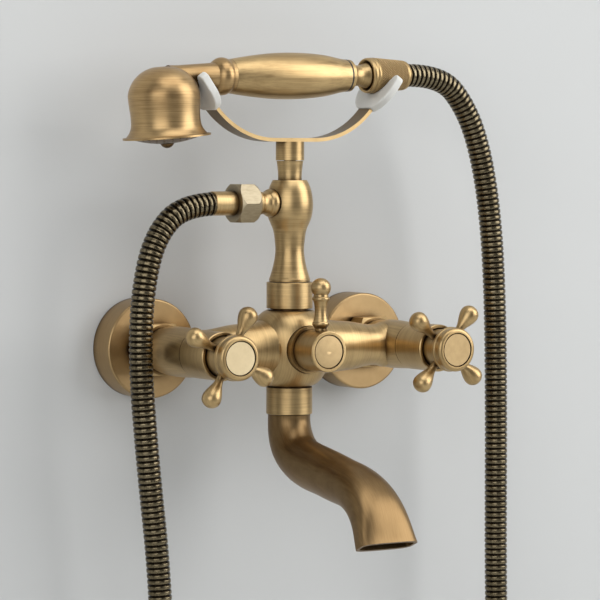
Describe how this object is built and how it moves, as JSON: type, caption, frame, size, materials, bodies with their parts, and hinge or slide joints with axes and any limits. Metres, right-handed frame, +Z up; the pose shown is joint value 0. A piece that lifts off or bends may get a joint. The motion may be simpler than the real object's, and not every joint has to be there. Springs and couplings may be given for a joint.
{
  "type": "bath shower mixer",
  "caption": "Wall-mounted bath and shower mixer with cross handles, a lever diverter, a swivelling spout and a hand shower lying in a cradle on a turned riser.",
  "frame": {"origin": "midway between the two threaded wall studs, on the finished wall's plane", "axes": "+X right along the wall as seen from the room, +Y into the wall along the studs, +Z up"},
  "size_m": [0.2728, 0.1767, 0.6698],
  "materials": {
    "antique_brass": "brushed antique brass with browned recesses",
    "plain_brass": "machined",
    "ceramic": "polished ceramic",
    "rubber": "matte",
    "black_ring": "matte",
    "liner": "milky, a little translucent",
    "steel": "turned",
    "hose_brass": "worn antique brass",
    "hose_metal": "dark ribbed metal hose"
  },
  "bodies": {
    "mixer": {"mixer_body": "antique_brass", "wall_flange_left": "antique_brass", "wall_flange_right": "antique_brass", "inlet_union_left": "plain_brass", "inlet_union_right": "plain_brass", "union_nut_left": "antique_brass", "union_nut_right": "antique_brass", "inlet_washers": "rubber", "headwork_left": "plain_brass", "headwork_right": "plain_brass", "fixed_discs": "ceramic", "seat_seals": "rubber", "spindle_o_rings": "rubber", "valve_sleeve_left": "antique_brass", "valve_sleeve_right": "antique_brass", "diverter_bonnet": "antique_brass", "riser_collar": "antique_brass", "riser_clip": "steel", "riser_washer": "rubber", "riser_column": "antique_brass", "riser_neck": "antique_brass", "cradle_post": "antique_brass", "cradle_strap": "antique_brass", "cradle_screw": "steel", "cradle_liner_left": "liner", "cradle_liner_right": "liner", "shower_outlet": "antique_brass", "hose_nut": "hose_brass", "hose_washer": "rubber", "hose_ferrule": "hose_brass", "hose": "hose_metal", "spout_collar": "antique_brass"},
    "left_handle": {"cross_handle_left": "antique_brass", "handle_cap_left": "antique_brass", "handle_screw_left": "steel", "spindle_left": "plain_brass", "moving_disc_left": "ceramic"},
    "right_handle": {"cross_handle_right": "antique_brass", "handle_cap_right": "antique_brass", "handle_screw_right": "steel", "spindle_right": "plain_brass", "moving_disc_right": "ceramic"},
    "diverter": {"diverter_knob": "antique_brass", "diverter_cap": "antique_brass", "diverter_lever": "antique_brass", "diverter_spindle": "plain_brass", "diverter_disc": "ceramic", "diverter_screw": "steel"},
    "spout": {"spout": "antique_brass", "spout_o_rings": "rubber", "spout_clip": "steel"},
    "handset": {"handset_head": "antique_brass", "spray_plate": "antique_brass", "spray_screw": "antique_brass", "handset_grip": "antique_brass", "grip_ring": "black_ring", "handset_tail": "antique_brass", "tail_nut": "antique_brass", "tail_washer": "rubber", "tail_ferrule": "hose_brass"}
  },
  "joints": [
    {"name": "left_handle_turn", "type": "hinge", "parent": "mixer", "child": "left_handle", "pos_m": [-0.075, -0.106, 0.008], "axis": [0, -1, 0], "range_deg": [0, 90]},
    {"name": "right_handle_turn", "type": "hinge", "parent": "mixer", "child": "right_handle", "pos_m": [0.075, -0.106, 0.008], "axis": [0, 1, 0], "range_deg": [0, 90]},
    {"name": "diverter_turn", "type": "hinge", "parent": "mixer", "child": "diverter", "pos_m": [0, -0.08533, 0.008], "axis": [0, 1, 0], "range_deg": [0, 90]},
    {"name": "spout_swivel", "type": "hinge", "parent": "mixer", "child": "spout", "pos_m": [0, -0.0513, -0.0315], "axis": [0, 0, 1], "range_deg": [-60, 60]},
    {"name": "handset_lift", "type": "slide", "parent": "mixer", "child": "handset", "axis": [-0.2588, 0, 0.9659], "range_m": [0, 0.012]}
  ]
}
